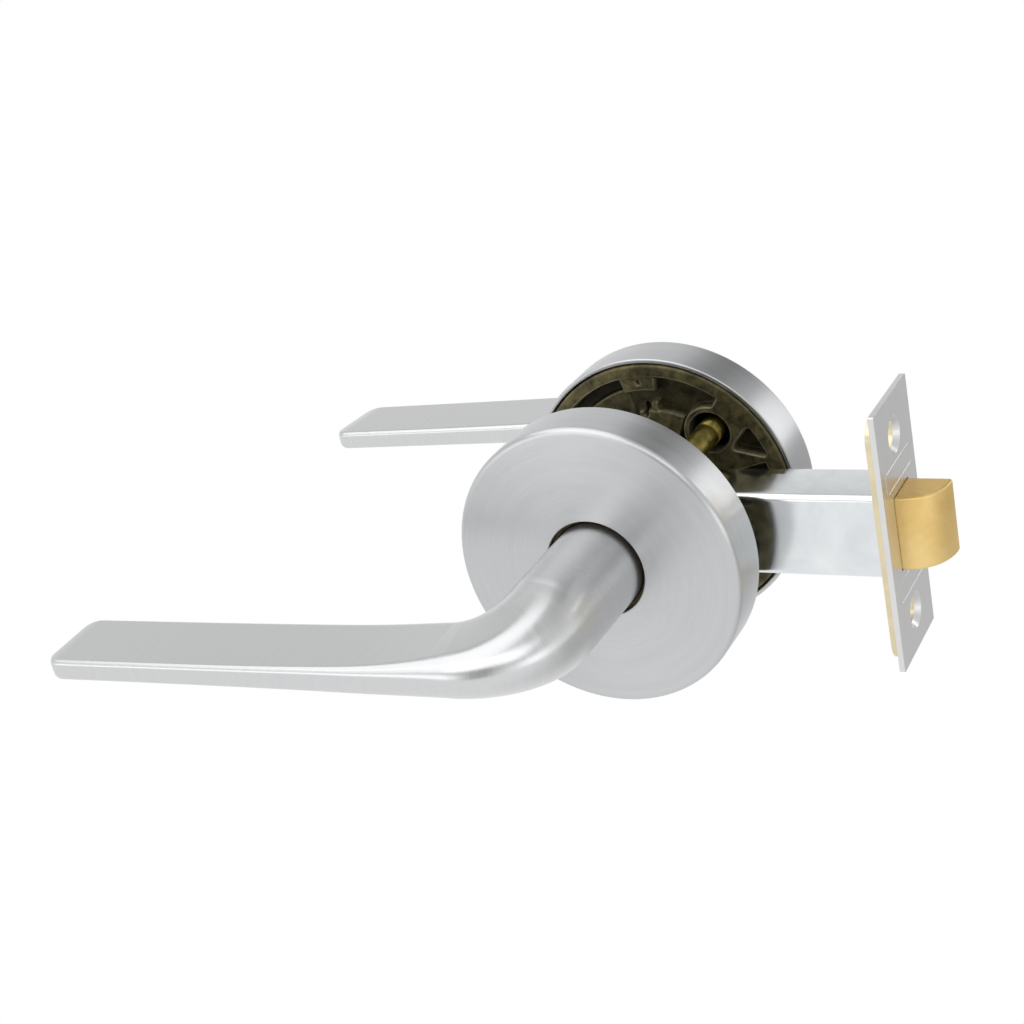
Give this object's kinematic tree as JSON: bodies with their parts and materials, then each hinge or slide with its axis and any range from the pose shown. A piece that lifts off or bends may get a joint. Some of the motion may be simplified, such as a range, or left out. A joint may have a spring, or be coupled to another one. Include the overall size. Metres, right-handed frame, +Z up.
{
  "type": "lever handle lockset",
  "caption": "Tubular passage lever set: levers on sprung round roses turn a square spindle that draws back a sprung latch bolt.",
  "frame": {"origin": "where the spindle axis crosses the latch axis, in the middle of the door that holds the set", "axes": "+X along the latch to the door's edge, levers point to -X, -Y is the door's outside, +Y the inside, +Z up"},
  "size_m": [0.1864, 0.1438, 0.0648],
  "materials": {
    "satin_chrome_rose": "satin chrome plate, turned in circles on the face",
    "satin_chrome_lever": "satin chrome plate, brushed round the bar and across the blade",
    "satin_faceplate": "satin plated steel",
    "chromate_casting": "olive chromate passivated zinc die casting",
    "black_nylon": "black glass-filled nylon",
    "sintered_bronze": "oiled sintered bronze",
    "spring_steel": "drawn spring wire",
    "plain_steel": "oiled plain steel",
    "bright_zinc": "bright zinc plate",
    "yellow_zinc": "yellow chromated zinc plate",
    "satin_brass": "satin cast brass"
  },
  "bodies": {
    "door_set": {"outside_rose_cover": "satin_chrome_rose", "inside_rose_cover": "satin_chrome_rose", "outside_base_plate": "chromate_casting", "inside_base_plate": "chromate_casting", "outside_thrust_washer": "plain_steel", "inside_thrust_washer": "plain_steel", "outside_return_spring": "spring_steel", "inside_return_spring": "spring_steel", "upper_fixing_post": "yellow_zinc", "lower_fixing_post": "yellow_zinc", "upper_fixing_screw": "bright_zinc", "lower_fixing_screw": "bright_zinc", "latch_case": "bright_zinc", "case_rivet_1": "bright_zinc", "case_rivet_2": "bright_zinc", "spring_stop": "bright_zinc", "bolt_spring": "spring_steel", "backing_plate": "yellow_zinc", "faceplate": "satin_faceplate"},
    "lever_set": {"outside_lever": "satin_chrome_lever", "inside_lever": "satin_chrome_lever", "outside_rotor": "black_nylon", "inside_rotor": "black_nylon", "outside_snap_ring": "bright_zinc", "inside_snap_ring": "bright_zinc", "outside_neck_bush": "sintered_bronze", "inside_neck_bush": "sintered_bronze", "outside_grub_screw": "plain_steel", "inside_grub_screw": "plain_steel", "spindle": "bright_zinc", "latch_hub": "plain_steel"},
    "drawbar": {"drawbar": "bright_zinc"},
    "latch_bolt": {"latch_bolt": "satin_brass"}
  },
  "joints": [
    {"name": "lever_turn", "type": "hinge", "parent": "door_set", "child": "lever_set", "pos_m": [0, 0, 0], "axis": [0, -1, 0], "range_deg": [0, 50], "stiffness_Nm_per_rad": 0.6, "springref_deg": -57.3, "deforming": ["outside_return_spring", "inside_return_spring"]},
    {"name": "drawbar_slide", "type": "slide", "parent": "door_set", "child": "drawbar", "axis": [-1, 0, 0], "range_m": [0, 0.0093], "deforming": ["bolt_spring"]},
    {"name": "bolt_push", "type": "slide", "parent": "drawbar", "child": "latch_bolt", "axis": [-1, 0, 0], "range_m": [0, 0.0093], "stiffness_N_per_m": 500, "springref_m": -0.008}
  ],
  "couplings": [
    {"joint": "drawbar_slide", "follows": "lever_turn", "m_per_rad": 0.01065}
  ]
}
